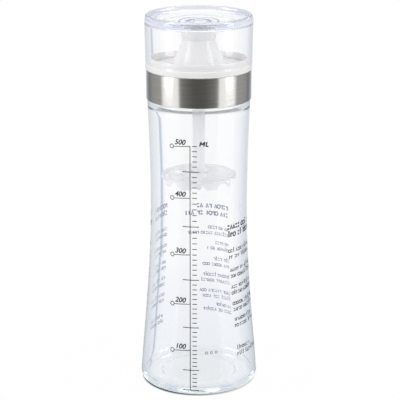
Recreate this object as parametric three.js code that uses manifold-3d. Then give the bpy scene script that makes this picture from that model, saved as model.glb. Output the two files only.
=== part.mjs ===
// Dressing mixer bottle: a flared glass bottle with a screw-on pouring head. The head is a
// white collar in a brushed steel band, with a cone spout. A rod under the spout carries a
// bladed mixing disc, and a clear cap pushes on over the spout.
// Millimetres, +Z up. The origin is the centre of the face that the bottle stands on.
import * as THREE from 'three';
import { mergeVertices } from 'three/addons/utils/BufferGeometryUtils.js';
import Module from 'manifold-3d';

// Glass bottle
const STAND_R = 35.3; // outer edge of the flat standing ring
const HEEL_R = 39.0; // widest part, just above the heel
const HEEL_Z = 6.0;
const HEEL_FLARE = 2.7; // how much the side draws in over the first stretch
const HEEL_FLARE_Z = 36.0;
const WAIST_R = 31.7; // narrowest part
const WAIST_Z = 122.0;
const WAIST_REACH_DOWN = 40.0; // length of the nearly straight side under the waist
const WAIST_REACH_UP = 28.0;
const SHOULDER_STEP = 3.9; // shoulder's edge past the neck
const SHOULDER_Z = 192.2;
const SHOULDER_FLARE = 0.7;
const SHOULDER_FLARE_Z = 20.0;
const SHOULDER_FILLET = 1.6;
const SHOULDER_SLOPE_Z = 7.0; // depth over which the inside narrows to the neck
const GLASS_WALL = 2.6;
const GLASS_BASE = 4.5;
const INNER_HEEL_FILLET = 7.0;
const PUNT_R = 25.5; // shallow hollow under the base
const PUNT_DEPTH = 1.6;
const PUNT_SLOPE = 2.6;
const NECK_R = 29.4;
const NECK_WALL = 2.4;
const NECK_HEIGHT = 15.8;
const RIM_FILLET = 0.8;

// Running and seating gaps
const SEAT_GAP = 0.3; // between faces that rest on each other
const RUN_GAP = 0.3; // between the disc and the rod's spigot
const THREAD_GAP = 1.3; // radial room for the thread between neck and collar
const CAP_GAP = 0.3; // between cap and upstand
const DISC_PASS_GAP = 2.4; // between the disc's edge and the neck it is lifted through

// Gasket on the glass rim
const GASKET_T = 1.5;
const GASKET_LIP = 0.6; // how far the gasket stands out past the neck

// Collar and steel band
const COLLAR_WALL = 2.5;
const COLLAR_SKIRT_GAP = 1.2; // between the collar's lower edge and the glass shoulder
const COLLAR_LEDGE_T = 2.8;
const COLLAR_LEDGE_OVER = 1.0; // ledge that the spout sits on, in past the neck's bore
const BAND_T = 0.5;
const BAND_HEM = 0.9; // the band's lower edge, turned in under the collar
const FLANGE_LIP = 0.4; // flange past the band
const FLANGE_T = 3.7;
const UPSTAND_WALL = 1.4;
const UPSTAND_H = 4.3;
const UPSTAND_BEAD = 0.15; // snap bead round the upstand
const UPSTAND_BEAD_Z = 2.6;
const UPSTAND_BEAD_H = 0.45;
const FLANGE_OVER_FLOOR = 0.3; // flange's top above the spout's floor

// Spout
const FLOOR_T = 2.2;
const CONE_BASE_R = 17.8;
const CONE_TOP_R = 10.6;
const CONE_H = 16.4;
const CONE_HOLLOW_R = 12.3; // draws the cone's side in
const CONE_HOLLOW_Z = 9.2;
const NOZZLE_R = 11.0;
const SPOUT_WALL = 1.8;
const SPOUT_SKIRT_GAP = 0.4;
const SPOUT_SKIRT_WALL = 1.4;
const SPOUT_SKIRT_H = 6.2;
const LIP_FILLET = 0.6;
const SOCKET_HUB_R = 6.0;
const SOCKET_HUB_H = 8.5;
const SOCKET_HUB_RISE = 0.3; // hub above the floor's underside
const SOCKET_DEPTH = 6.8;
const SOCKET_RIB_T = 1.6;
const SOCKET_RIB_H = 5.2;
const SOCKET_RIBS = 4;

// Rod and its tip
const ROD_R = 4.1;
const ROD_PLUG_R = 3.0; // upper end, in the socket
const ROD_SPIGOT_R = 2.2; // lower end, through the disc
const ROD_L = 61.5; // from the socket to the disc
const ROD_CHAMFER = 0.5;
const TIP_R = 3.5;
const TIP_L = 4.9;
const TIP_BORE = 2.7;
const TIP_POINT_R = 0.5;

// Mixing disc
const DISC_RING_W = 4.4;
const DISC_RING_T = 1.6;
const DISC_SKIRT_W = 1.4;
const DISC_SKIRT_INSET = 2.4; // skirt's outer face inside the ring's edge
const DISC_SKIRT_H = 4.4; // below the ring
const DISC_HUB_R = 6.0;
const DISC_HUB_H = 7.4;
const DISC_HUB_RISE = 0.9;
const BLADES = 8;
const BLADE_CHORD = 5.2;
const BLADE_T = 1.1;
const BLADE_PITCH = 40 * Math.PI / 180;
const BLADE_DROP = 2.7; // blade's middle below the ring's top
const SCALLOP_R = 5.0;
const SCALLOP_DROP = 7.4; // scallop's centre below the ring's top

// Clear cap
const CAP_H = 31.0;
const CAP_WALL = 1.7;
const CAP_DRAFT = 0.5; // cap is this much wider at the top
const CAP_RIM_W = 1.4;
const CAP_RIM_FILLET = 1.6;
const CAP_DISH = 4.4; // middle of the dished top, below the rim
const CAP_DISH_EDGE = 2.4; // edge of the dished top, below the rim
const CAP_DISH_FILLET = 1.2;
const CAP_PLATE_T = 2.7;
const CAP_CORNER = 1.4; // inner corner under the plate
const CAP_RING_R = 21.4; // faint step in the top
const CAP_RING_STEP = 0.3;
const PLUG_BEAD_R = 12.7;
const PLUG_BEAD_H = 0.5;
const PLUG_WALL = 1.5;
const PLUG_L = 5.5;
const PLUG_BOTTOM_T = 1.5;
const PLUG_FLARE = 3.2; // rounded mouth of the plug's hollow

// Fineness of the round shapes
const ROUND = 40;
const ROUND_SMALL = 24;
const ARC_STEPS = 3;
const SIDE_STEPS = 7;
const MERGE = 1e-5; // corners closer than this are one
const CUT_OVER = 1; // how far a cut runs past the face it opens

// Sizes that follow from the ones above
const RIM_Z = SHOULDER_Z + NECK_HEIGHT;
const SHOULDER_R = NECK_R + SHOULDER_STEP;
const NECK_BORE_R = NECK_R - NECK_WALL;
const COLLAR_BORE_R = NECK_R + THREAD_GAP;
const COLLAR_R = COLLAR_BORE_R + COLLAR_WALL;
const COLLAR_LEDGE_R = NECK_BORE_R - COLLAR_LEDGE_OVER;
const BAND_INNER_R = COLLAR_R + SEAT_GAP;
const BAND_R = BAND_INNER_R + BAND_T;
const FLANGE_R = BAND_R + FLANGE_LIP;
const CAP_INNER_R = FLANGE_R - CAP_WALL;
const UPSTAND_R = CAP_INNER_R - CAP_GAP - UPSTAND_BEAD;
const UPSTAND_INNER_R = UPSTAND_R - UPSTAND_WALL;
const NOZZLE_BORE_R = NOZZLE_R - SPOUT_WALL;
const DISC_R = NECK_BORE_R - DISC_PASS_GAP;

// Heights in the head, measured from the glass rim
const LEDGE_Z = SEAT_GAP + GASKET_T + SEAT_GAP;
const LEDGE_TOP_Z = LEDGE_Z + COLLAR_LEDGE_T;
const FLOOR_UNDER_Z = LEDGE_TOP_Z + SEAT_GAP;
const FLOOR_Z = FLOOR_UNDER_Z + FLOOR_T;
const FLANGE_TOP_Z = FLOOR_Z + FLANGE_OVER_FLOOR;
const FLANGE_Z = FLANGE_TOP_Z - FLANGE_T;
const CAP_Z = FLANGE_TOP_Z + SEAT_GAP;
const CAP_TOP_Z = CAP_Z + CAP_H;
const DISH_Z = CAP_TOP_Z - CAP_DISH;
const PLATE_Z = DISH_Z - CAP_PLATE_T;
const NOZZLE_TOP_Z = PLATE_Z - SEAT_GAP;
const SOCKET_TOP_Z = FLOOR_UNDER_Z + SOCKET_HUB_RISE;
const SOCKET_Z = SOCKET_TOP_Z - SOCKET_HUB_H;
const ROD_TOP_Z = SOCKET_Z - SEAT_GAP;
const ROD_END_Z = ROD_TOP_Z - ROD_L;
const DISC_Z = ROD_END_Z - SEAT_GAP - DISC_HUB_RISE;
const HUB_UNDER_Z = DISC_Z + DISC_HUB_RISE - DISC_HUB_H;
const TIP_Z = HUB_UNDER_Z - SEAT_GAP;

const wasm = await Module();
wasm.setup();

function plain(geometry) {
  // Only positions, with shared corners merged and flat triangles dropped
  const bare = geometry.clone();
  bare.deleteAttribute('normal');
  bare.deleteAttribute('uv');
  const merged = mergeVertices(bare, MERGE);
  const old = merged.index.array;
  const kept = [];
  for (let i = 0; i < old.length; i += 3) {
    const [a, b, c] = [old[i], old[i + 1], old[i + 2]];
    if (a !== b && b !== c && c !== a) {
      kept.push(a, b, c);
    }
  }
  merged.setIndex(kept);
  return merged;
}

function solid(geometry) {
  const merged = plain(geometry);
  const mesh = new wasm.Mesh({
    numProp: 3,
    vertProperties: new Float32Array(merged.attributes.position.array),
    triVerts: new Uint32Array(merged.index.array),
  });
  return new wasm.Manifold(mesh);
}

function geometryOf(body) {
  const mesh = body.getMesh();
  const geometry = new THREE.BufferGeometry();
  geometry.setAttribute('position', new THREE.BufferAttribute(mesh.vertProperties, 3));
  geometry.setIndex(new THREE.BufferAttribute(mesh.triVerts, 1));
  geometry.computeVertexNormals();
  return geometry;
}

function turned(outline, steps) {
  // Outline of [radius, height] points, anticlockwise, closed on itself or on the axis
  const points = outline.map(([r, z]) => new THREE.Vector2(r, z));
  const onAxis = outline[0][0] === 0 && outline[outline.length - 1][0] === 0;
  if (!onAxis) {
    points.push(points[0].clone());
  }
  const geometry = new THREE.LatheGeometry(points, steps);
  geometry.rotateX(Math.PI / 2);
  const merged = plain(geometry);
  merged.computeVertexNormals();
  return merged;
}

function arc(cr, cz, ar, az, from, to) {
  // Part of an ellipse round (cr, cz), angles in degrees
  const points = [];
  for (let i = 0; i <= ARC_STEPS; i += 1) {
    const angle = (from + (to - from) * i / ARC_STEPS) * Math.PI / 180;
    points.push([cr + ar * Math.cos(angle), cz + az * Math.sin(angle)]);
  }
  return points;
}

function curvePoints(curve, steps) {
  return curve.getPoints(steps).map((p) => [p.x, p.y]);
}

function cylinder(r, z0, z1, steps) {
  return turned([[0, z0], [r, z0], [r, z1], [0, z1]], steps);
}

// Glass bottle

function bottleSide() {
  const foot = new THREE.CubicBezierCurve(
    new THREE.Vector2(HEEL_R, HEEL_Z),
    new THREE.Vector2(HEEL_R - HEEL_FLARE, HEEL_Z + HEEL_FLARE_Z),
    new THREE.Vector2(WAIST_R, WAIST_Z - WAIST_REACH_DOWN),
    new THREE.Vector2(WAIST_R, WAIST_Z),
  );
  const top = new THREE.CubicBezierCurve(
    new THREE.Vector2(WAIST_R, WAIST_Z),
    new THREE.Vector2(WAIST_R, WAIST_Z + WAIST_REACH_UP),
    new THREE.Vector2(SHOULDER_R - SHOULDER_FLARE, SHOULDER_Z - SHOULDER_FILLET - SHOULDER_FLARE_Z),
    new THREE.Vector2(SHOULDER_R, SHOULDER_Z - SHOULDER_FILLET),
  );
  return [...curvePoints(foot, SIDE_STEPS), ...curvePoints(top, SIDE_STEPS).slice(1)];
}

function bottleGeometry() {
  const side = bottleSide();
  const wallTop = SHOULDER_Z - SHOULDER_SLOPE_Z;
  const wallFoot = GLASS_BASE + INNER_HEEL_FILLET;
  const inside = side
    .filter(([, z]) => z > wallFoot + GLASS_WALL && z < wallTop)
    .map(([r, z]) => [r - GLASS_WALL, z])
    .reverse();
  const footR = HEEL_R - GLASS_WALL - (wallFoot - HEEL_Z) * HEEL_FLARE / HEEL_FLARE_Z;
  return turned([
    [0, PUNT_DEPTH],
    [PUNT_R - PUNT_SLOPE, PUNT_DEPTH],
    [PUNT_R, 0],
    ...arc(STAND_R, HEEL_Z, HEEL_R - STAND_R, HEEL_Z, -90, 0),
    ...side.slice(1, -1),
    ...arc(SHOULDER_R - SHOULDER_FILLET, SHOULDER_Z - SHOULDER_FILLET,
      SHOULDER_FILLET, SHOULDER_FILLET, 0, 90),
    [NECK_R, SHOULDER_Z],
    [NECK_R, RIM_Z - RIM_FILLET],
    [NECK_R - RIM_FILLET, RIM_Z],
    [NECK_BORE_R + RIM_FILLET, RIM_Z],
    [NECK_BORE_R, RIM_Z - RIM_FILLET],
    [NECK_BORE_R, SHOULDER_Z - GLASS_WALL],
    ...inside,
    ...arc(footR - INNER_HEEL_FILLET, wallFoot, INNER_HEEL_FILLET, INNER_HEEL_FILLET, 0, -90),
    [0, GLASS_BASE],
  ], ROUND);
}

// Head: heights from the glass rim

function gasketGeometry() {
  return turned([
    [NECK_BORE_R, SEAT_GAP],
    [NECK_R + GASKET_LIP, SEAT_GAP],
    [NECK_R + GASKET_LIP, SEAT_GAP + GASKET_T],
    [NECK_BORE_R, SEAT_GAP + GASKET_T],
  ], ROUND);
}

function collarGeometry() {
  const footZ = COLLAR_SKIRT_GAP - NECK_HEIGHT;
  const beadZ = FLANGE_TOP_Z + UPSTAND_BEAD_Z;
  const topZ = FLANGE_TOP_Z + UPSTAND_H;
  return turned([
    [COLLAR_BORE_R, footZ],
    [COLLAR_R, footZ],
    [COLLAR_R, FLANGE_Z],
    [FLANGE_R, FLANGE_Z],
    [FLANGE_R, FLANGE_TOP_Z],
    [UPSTAND_R, FLANGE_TOP_Z],
    [UPSTAND_R, beadZ - UPSTAND_BEAD_H],
    [UPSTAND_R + UPSTAND_BEAD, beadZ],
    [UPSTAND_R, beadZ + UPSTAND_BEAD_H],
    [UPSTAND_R, topZ - UPSTAND_BEAD],
    [UPSTAND_R - UPSTAND_BEAD, topZ],
    [UPSTAND_INNER_R, topZ],
    [UPSTAND_INNER_R, LEDGE_TOP_Z],
    [COLLAR_LEDGE_R, LEDGE_TOP_Z],
    [COLLAR_LEDGE_R, LEDGE_Z],
    [COLLAR_BORE_R, LEDGE_Z],
  ], ROUND);
}

function bandGeometry() {
  const hemZ = COLLAR_SKIRT_GAP - NECK_HEIGHT - SEAT_GAP;
  const topZ = FLANGE_Z - SEAT_GAP;
  return turned([
    [BAND_R - BAND_HEM, hemZ - BAND_T],
    [BAND_R - BAND_T, hemZ - BAND_T],
    [BAND_R, hemZ],
    [BAND_R, topZ],
    [BAND_INNER_R, topZ],
    [BAND_INNER_R, hemZ],
    [BAND_R - BAND_HEM, hemZ],
  ], ROUND);
}

function spoutShell() {
  const coneTopZ = FLOOR_Z + CONE_H;
  const outer = new THREE.QuadraticBezierCurve(
    new THREE.Vector2(CONE_BASE_R, FLOOR_Z),
    new THREE.Vector2(CONE_HOLLOW_R, FLOOR_Z + CONE_HOLLOW_Z),
    new THREE.Vector2(CONE_TOP_R, coneTopZ),
  );
  const inner = new THREE.QuadraticBezierCurve(
    new THREE.Vector2(NOZZLE_BORE_R, coneTopZ),
    new THREE.Vector2(CONE_HOLLOW_R - SPOUT_WALL, FLOOR_Z + CONE_HOLLOW_Z - SPOUT_WALL / 2),
    new THREE.Vector2(CONE_BASE_R - SPOUT_WALL, FLOOR_Z - SPOUT_WALL / 2),
  );
  const skirtR = COLLAR_LEDGE_R - SPOUT_SKIRT_GAP;
  const skirtZ = FLOOR_UNDER_Z - SPOUT_SKIRT_H;
  const flangeR = UPSTAND_INNER_R - SPOUT_SKIRT_GAP;
  return turned([
    [flangeR, FLOOR_UNDER_Z],
    [flangeR, FLOOR_Z],
    ...curvePoints(outer, SIDE_STEPS),
    [NOZZLE_R, coneTopZ + NOZZLE_R - CONE_TOP_R],
    [NOZZLE_R, NOZZLE_TOP_Z - LIP_FILLET],
    [NOZZLE_R - LIP_FILLET, NOZZLE_TOP_Z],
    [NOZZLE_BORE_R, NOZZLE_TOP_Z],
    ...curvePoints(inner, SIDE_STEPS),
    [CONE_BASE_R - SPOUT_WALL, FLOOR_UNDER_Z],
    [skirtR - SPOUT_SKIRT_WALL, FLOOR_UNDER_Z],
    [skirtR - SPOUT_SKIRT_WALL, skirtZ],
    [skirtR, skirtZ],
    [skirtR, FLOOR_UNDER_Z],
  ], ROUND);
}

function spoutGeometry() {
  let body = solid(spoutShell());
  body = body.add(solid(cylinder(SOCKET_HUB_R, SOCKET_Z, SOCKET_TOP_Z, ROUND_SMALL)));
  const ribEnd = COLLAR_LEDGE_R - SPOUT_SKIRT_GAP - SPOUT_SKIRT_WALL / 2;
  for (let i = 0; i < SOCKET_RIBS; i += 1) {
    const rib = new THREE.BoxGeometry(ribEnd, SOCKET_RIB_T, SOCKET_RIB_H);
    rib.translate(ribEnd / 2, 0, SOCKET_TOP_Z - SOCKET_RIB_H / 2);
    rib.rotateZ(2 * Math.PI * i / SOCKET_RIBS);
    body = body.add(solid(rib));
  }
  const socketR = ROD_PLUG_R + SEAT_GAP;
  const bore = cylinder(socketR, SOCKET_Z - CUT_OVER, SOCKET_Z + SOCKET_DEPTH, ROUND_SMALL);
  return geometryOf(body.subtract(solid(bore)));
}

// Rod, disc and tip: the rod hangs in the socket, the disc turns on its spigot

function rodGeometry() {
  const spigotEnd = TIP_Z - TIP_BORE + SEAT_GAP;
  const plugTop = SOCKET_Z + SOCKET_DEPTH - SEAT_GAP;
  return turned([
    [0, spigotEnd],
    [ROD_SPIGOT_R, spigotEnd],
    [ROD_SPIGOT_R, ROD_END_Z],
    [ROD_R - ROD_CHAMFER, ROD_END_Z],
    [ROD_R, ROD_END_Z + ROD_CHAMFER],
    [ROD_R, ROD_TOP_Z],
    [ROD_PLUG_R, ROD_TOP_Z],
    [ROD_PLUG_R, plugTop],
    [0, plugTop],
  ], ROUND_SMALL);
}

function tipGeometry() {
  const boreR = ROD_SPIGOT_R + SEAT_GAP;
  return turned([
    [0, TIP_Z - TIP_L],
    [TIP_POINT_R, TIP_Z - TIP_L],
    [TIP_R, TIP_Z - TIP_L / 3],
    [TIP_R, TIP_Z],
    [boreR, TIP_Z],
    [boreR, TIP_Z - TIP_BORE],
    [0, TIP_Z - TIP_BORE],
  ], ROUND_SMALL);
}

function discGeometry() {
  // Height zero is the top of the flat ring
  const ringInner = DISC_R - DISC_RING_W;
  const skirtOuter = DISC_R - DISC_SKIRT_INSET;
  const hubTop = DISC_HUB_RISE;
  const hubUnder = hubTop - DISC_HUB_H;
  let body = solid(turned([
    [ringInner, -DISC_RING_T],
    [skirtOuter - DISC_SKIRT_W, -DISC_RING_T],
    [skirtOuter - DISC_SKIRT_W, -DISC_RING_T - DISC_SKIRT_H],
    [skirtOuter, -DISC_RING_T - DISC_SKIRT_H],
    [skirtOuter, -DISC_RING_T],
    [DISC_R, -DISC_RING_T],
    [DISC_R, 0],
    [ringInner, 0],
  ], ROUND));
  const reach = ringInner + DISC_RING_W / 2;
  for (let i = 0; i < BLADES; i += 1) {
    const scallop = new THREE.CylinderGeometry(SCALLOP_R, SCALLOP_R, DISC_R, ROUND_SMALL);
    scallop.rotateZ(Math.PI / 2);
    scallop.translate(DISC_R, 0, -SCALLOP_DROP);
    scallop.rotateZ(2 * Math.PI * i / BLADES);
    body = body.subtract(solid(scallop));
  }
  for (let i = 0; i < BLADES; i += 1) {
    const blade = new THREE.BoxGeometry(reach, BLADE_CHORD, BLADE_T);
    blade.rotateX(BLADE_PITCH);
    blade.translate(reach / 2, 0, -BLADE_DROP);
    blade.rotateZ(2 * Math.PI * (i + 0.5) / BLADES);
    body = body.add(solid(blade));
  }
  body = body.add(solid(cylinder(DISC_HUB_R, hubUnder, hubTop, ROUND_SMALL)));
  const boreR = ROD_SPIGOT_R + RUN_GAP;
  const bore = cylinder(boreR, hubUnder - CUT_OVER, hubTop + CUT_OVER, ROUND_SMALL);
  return geometryOf(body.subtract(solid(bore)));
}

// Clear cap

function capGeometry() {
  const capTopR = FLANGE_R + CAP_DRAFT;
  const innerTopR = CAP_INNER_R + CAP_DRAFT;
  const rimInner = capTopR - CAP_RIM_FILLET - CAP_RIM_W;
  const plugR = NOZZLE_BORE_R - SEAT_GAP;
  const hollowR = plugR - PLUG_WALL;
  const plugZ = PLATE_Z - PLUG_L;
  const ringZ = DISH_Z - CAP_RING_STEP;
  const edgeZ = CAP_TOP_Z - CAP_DISH_EDGE;
  return turned([
    [CAP_INNER_R, CAP_Z],
    [FLANGE_R, CAP_Z],
    ...arc(capTopR - CAP_RIM_FILLET, CAP_TOP_Z - CAP_RIM_FILLET, CAP_RIM_FILLET, CAP_RIM_FILLET, 0, 90),
    [rimInner, CAP_TOP_Z],
    ...arc(rimInner - CAP_DISH_FILLET, edgeZ + CAP_DISH_FILLET, CAP_DISH_FILLET, CAP_DISH_FILLET, 0, -90),
    [CAP_RING_R, DISH_Z],
    [CAP_RING_R - CAP_RING_STEP, ringZ],
    [PLUG_BEAD_R + PLUG_BEAD_H, ringZ],
    [PLUG_BEAD_R, ringZ + PLUG_BEAD_H],
    [PLUG_BEAD_R - PLUG_BEAD_H, ringZ],
    ...arc(hollowR + PLUG_FLARE, ringZ - PLUG_FLARE, PLUG_FLARE, PLUG_FLARE, 90, 180),
    [hollowR, plugZ + PLUG_BOTTOM_T],
    [0, plugZ + PLUG_BOTTOM_T],
    [0, plugZ],
    [plugR, plugZ],
    [plugR, PLATE_Z],
    ...arc(innerTopR - CAP_CORNER, PLATE_Z - CAP_CORNER, CAP_CORNER, CAP_CORNER, 90, 0),
  ], ROUND);
}

// Assembly

const glass = new THREE.MeshStandardMaterial({
  color: 0xf2f7f6, roughness: 0.03, metalness: 0, transparent: true, opacity: 0.3,
});
const clearPlastic = new THREE.MeshStandardMaterial({
  color: 0xf4f6fb, roughness: 0.06, metalness: 0, transparent: true, opacity: 0.3,
});
const whitePlastic = new THREE.MeshStandardMaterial({ color: 0xf2f3f0, roughness: 0.3, metalness: 0 });
const milkyPlastic = new THREE.MeshStandardMaterial({
  color: 0xe9eef0, roughness: 0.35, metalness: 0, transparent: true, opacity: 0.7,
});
const brushedSteel = new THREE.MeshStandardMaterial({ color: 0xa5a49f, roughness: 0.35, metalness: 1 });
const silicone = new THREE.MeshStandardMaterial({ color: 0xe6e8e6, roughness: 0.6, metalness: 0 });

function piece(parent, name, geometry, material) {
  const mesh = new THREE.Mesh(geometry, material);
  mesh.name = name;
  parent.add(mesh);
  return mesh;
}

const bottle = new THREE.Group();
piece(bottle, 'glass_bottle', bottleGeometry(), glass);

const head = new THREE.Group();
head.position.z = RIM_Z;
piece(head, 'neck_gasket', gasketGeometry(), silicone);
piece(head, 'screw_collar', collarGeometry(), whitePlastic);
piece(head, 'steel_band', bandGeometry(), brushedSteel);
piece(head, 'pouring_spout', spoutGeometry(), whitePlastic);
piece(head, 'clear_cap', capGeometry(), clearPlastic);

const mixer = new THREE.Group();
piece(mixer, 'mixing_rod', rodGeometry(), milkyPlastic);
piece(mixer, 'rod_tip', tipGeometry(), milkyPlastic);
const disc = piece(mixer, 'mixing_disc', discGeometry(), milkyPlastic);
disc.position.z = DISC_Z;
head.add(mixer);

const group = new THREE.Group();
group.add(bottle, head);

export default group;
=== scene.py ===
"""Dressing mixer bottle: clear flared glass with a printed scale, a white pouring head in a
brushed steel band, a milky mixing disc on a rod, and a clear push-on cap."""
import math
import random

import bpy
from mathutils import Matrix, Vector


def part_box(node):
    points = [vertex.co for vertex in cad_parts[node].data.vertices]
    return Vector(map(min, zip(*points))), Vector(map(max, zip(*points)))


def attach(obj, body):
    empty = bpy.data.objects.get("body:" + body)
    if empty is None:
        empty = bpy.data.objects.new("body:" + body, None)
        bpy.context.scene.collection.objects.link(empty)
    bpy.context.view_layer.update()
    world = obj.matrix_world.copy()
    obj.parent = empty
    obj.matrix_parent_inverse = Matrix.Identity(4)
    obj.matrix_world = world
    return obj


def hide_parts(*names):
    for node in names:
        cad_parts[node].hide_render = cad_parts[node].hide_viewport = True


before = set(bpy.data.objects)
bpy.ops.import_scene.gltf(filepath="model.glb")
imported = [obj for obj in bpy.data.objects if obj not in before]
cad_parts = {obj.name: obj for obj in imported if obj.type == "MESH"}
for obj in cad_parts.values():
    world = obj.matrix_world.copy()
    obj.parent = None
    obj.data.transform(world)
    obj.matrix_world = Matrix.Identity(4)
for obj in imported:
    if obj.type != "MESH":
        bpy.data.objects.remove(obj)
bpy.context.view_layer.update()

MM = 0.001

# Thickness of the print, and how far it floats off the glass
INK_T, INK_LIFT = 0.05, 0.02

# Sizes taken from the frame, in millimetres. The print on the heel is the widest point.
RIM_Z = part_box("glass_bottle")[1].z / MM
HEEL_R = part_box("glass_bottle")[1].x / MM - INK_T - INK_LIFT
COLLAR_FOOT_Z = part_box("screw_collar")[0].z / MM
UPSTAND_TOP_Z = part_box("screw_collar")[1].z / MM
FLANGE_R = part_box("screw_collar")[1].x / MM
BAND_FOOT_Z, BAND_TOP_Z = (corner.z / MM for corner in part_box("steel_band"))
BAND_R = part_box("steel_band")[1].x / MM
CAP_Z, CAP_TOP_Z = (corner.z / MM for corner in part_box("clear_cap"))
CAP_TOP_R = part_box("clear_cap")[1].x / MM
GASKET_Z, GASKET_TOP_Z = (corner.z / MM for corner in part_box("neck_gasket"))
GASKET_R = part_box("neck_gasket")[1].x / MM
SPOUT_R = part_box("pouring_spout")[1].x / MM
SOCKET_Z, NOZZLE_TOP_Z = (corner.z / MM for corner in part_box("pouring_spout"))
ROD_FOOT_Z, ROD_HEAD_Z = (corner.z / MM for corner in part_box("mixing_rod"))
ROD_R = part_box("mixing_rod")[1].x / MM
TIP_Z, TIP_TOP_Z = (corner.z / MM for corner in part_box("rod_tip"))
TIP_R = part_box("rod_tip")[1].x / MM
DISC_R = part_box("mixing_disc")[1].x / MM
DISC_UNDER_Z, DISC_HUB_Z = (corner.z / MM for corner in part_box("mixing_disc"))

# Glass bottle
STAND_R = 35.3
HEEL_Z = 4.2
HEEL_FLARE, HEEL_FLARE_Z = 2.7, 36.0
WAIST_R, WAIST_Z = 31.7, 122.0
WAIST_REACH_DOWN, WAIST_REACH_UP = 40.0, 28.0
NECK_HEIGHT = 15.8
SHOULDER_R = 33.3
SHOULDER_Z = RIM_Z - NECK_HEIGHT
SHOULDER_FLARE, SHOULDER_FLARE_Z = 0.7, 20.0
SHOULDER_FILLET = 1.6
SHOULDER_SLOPE_Z = 7.0
GLASS_WALL = 2.6
GLASS_BASE = 4.5
INNER_HEEL_FILLET = 3.2
PUNT_R, PUNT_DEPTH, PUNT_SLOPE = 25.5, 1.1, 1.8
NECK_R, NECK_WALL = 29.4, 2.4
THREAD_DEPTH = 0.62
THREAD_PITCH = 3.6

# Head
COLLAR_BORE_R = 30.7
COLLAR_R = 33.2
LEDGE_R = 26.0
LEDGE_Z, LEDGE_TOP_Z = RIM_Z + 2.1, RIM_Z + 4.9
FLOOR_UNDER_Z, FLOOR_Z = RIM_Z + 5.2, RIM_Z + 7.4
FLANGE_Z, FLANGE_TOP_Z = RIM_Z + 4.0, RIM_Z + 7.7
UPSTAND_R = 32.25
UPSTAND_INNER_R = 30.85
BAND_T = 0.5
CONE_BASE_R, CONE_TOP_R, CONE_H = 17.8, 10.6, 16.4
CONE_HOLLOW_R, CONE_HOLLOW_Z = 12.3, 9.2
NOZZLE_R, NOZZLE_BORE_R = 11.0, 9.2
SPOUT_WALL = 1.8
SOCKET_HUB_R = 6.0
SOCKET_BORE_R = 3.3
SOCKET_DEPTH = 6.8
SPIGOT_R, SPIGOT_GAP = 2.2, 0.3
ROD_END_Z = RIM_Z - 64.8
ROD_TOP_Z = SOCKET_Z - 0.3
DISC_Z = DISC_HUB_Z - 0.9
CAP_WALL = 1.7
CAP_DISH, CAP_DISH_EDGE, CAP_DISH_FILLET = 4.4, 2.4, 1.2
CAP_PLATE_T = 2.7
CAP_RING_R = 21.4

# Fineness
ROUND = 160
ROUND_SMALL = 72
ARC_STEPS = 6
SIDE_STEPS = 28
# Edges that turn by more degrees than this are drawn sharp
SHARP_FROM = 38.0
# Points nearer to the axis than this lie on it
ON_AXIS_R = 1e-6


# Meshes

def mesh_object(name, vertices, faces):
    mesh = bpy.data.meshes.new(name)
    mesh.from_pydata([tuple(v) for v in vertices], [], faces)
    mesh.update()
    made = bpy.data.objects.new(name, mesh)
    bpy.context.scene.collection.objects.link(made)
    return made


def smooth(made, sharp_from=SHARP_FROM):
    made.data.shade_smooth()
    made.data.set_sharp_from_angle(angle=math.radians(sharp_from))
    return made


def turned(name, outline, steps=ROUND, sharp_from=SHARP_FROM):
    """A turned solid in metres from an anticlockwise outline of (radius, height) in
    millimetres. It closes on itself, or on the axis where it starts and ends there."""
    vertices, rings = [], []
    for r, z in outline:
        if r <= ON_AXIS_R:
            rings.append([len(vertices)] * steps)
            vertices.append((0.0, 0.0, z * MM))
            continue
        rings.append(list(range(len(vertices), len(vertices) + steps)))
        for i in range(steps):
            angle = 2 * math.pi * i / steps
            vertices.append((r * MM * math.cos(angle), r * MM * math.sin(angle), z * MM))
    faces = []
    on_axis = max(outline[0][0], outline[-1][0]) <= ON_AXIS_R
    pairs = list(zip(rings, rings[1:])) + ([] if on_axis else [(rings[-1], rings[0])])
    for low, high in pairs:
        for i in range(steps):
            j = (i + 1) % steps
            corners = [low[i], low[j], high[j], high[i]]
            face = [c for k, c in enumerate(corners) if c != corners[k - 1]]
            if len(face) > 2:
                faces.append(face)
    return smooth(mesh_object(name, vertices, faces), sharp_from)


def arc(cr, cz, ar, az, start, end, steps=ARC_STEPS):
    points = []
    for i in range(steps + 1):
        angle = math.radians(start + (end - start) * i / steps)
        points.append((cr + ar * math.cos(angle), cz + az * math.sin(angle)))
    return points


def bezier(points, steps):
    """Points on a Bezier curve of any degree."""
    made = []
    for i in range(steps + 1):
        t = i / steps
        level = [tuple(p) for p in points]
        while len(level) > 1:
            level = [
                (a[0] + (b[0] - a[0]) * t, a[1] + (b[1] - a[1]) * t)
                for a, b in zip(level, level[1:])
            ]
        made.append(level[0])
    return made


def rounded(corners, steps=ARC_STEPS):
    """An outline from (r, z, fillet) corners, each rounded with its own radius, which takes up
    less than half of either side."""
    most_of_side = 0.48
    made = []
    for k, (r, z, fillet) in enumerate(corners):
        here = Vector((r, z))
        before = Vector(corners[k - 1][:2])
        after = Vector(corners[(k + 1) % len(corners)][:2])
        if fillet <= 0:
            made.append((r, z))
            continue
        back, on = (before - here).normalized(), (after - here).normalized()
        turn = back.angle(on)
        shorter_side = min((before - here).length, (after - here).length)
        reach = min(fillet / math.tan(turn / 2), most_of_side * shorter_side)
        start, end = here + back * reach, here + on * reach
        made += bezier([start, here, end], steps)
    return made


def between(start, end, steps):
    """Evenly spaced points on a straight stretch, the first left out."""
    return [
        (start[0] + (end[0] - start[0]) * i / steps, start[1] + (end[1] - start[1]) * i / steps)
        for i in range(1, steps + 1)
    ]


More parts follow.
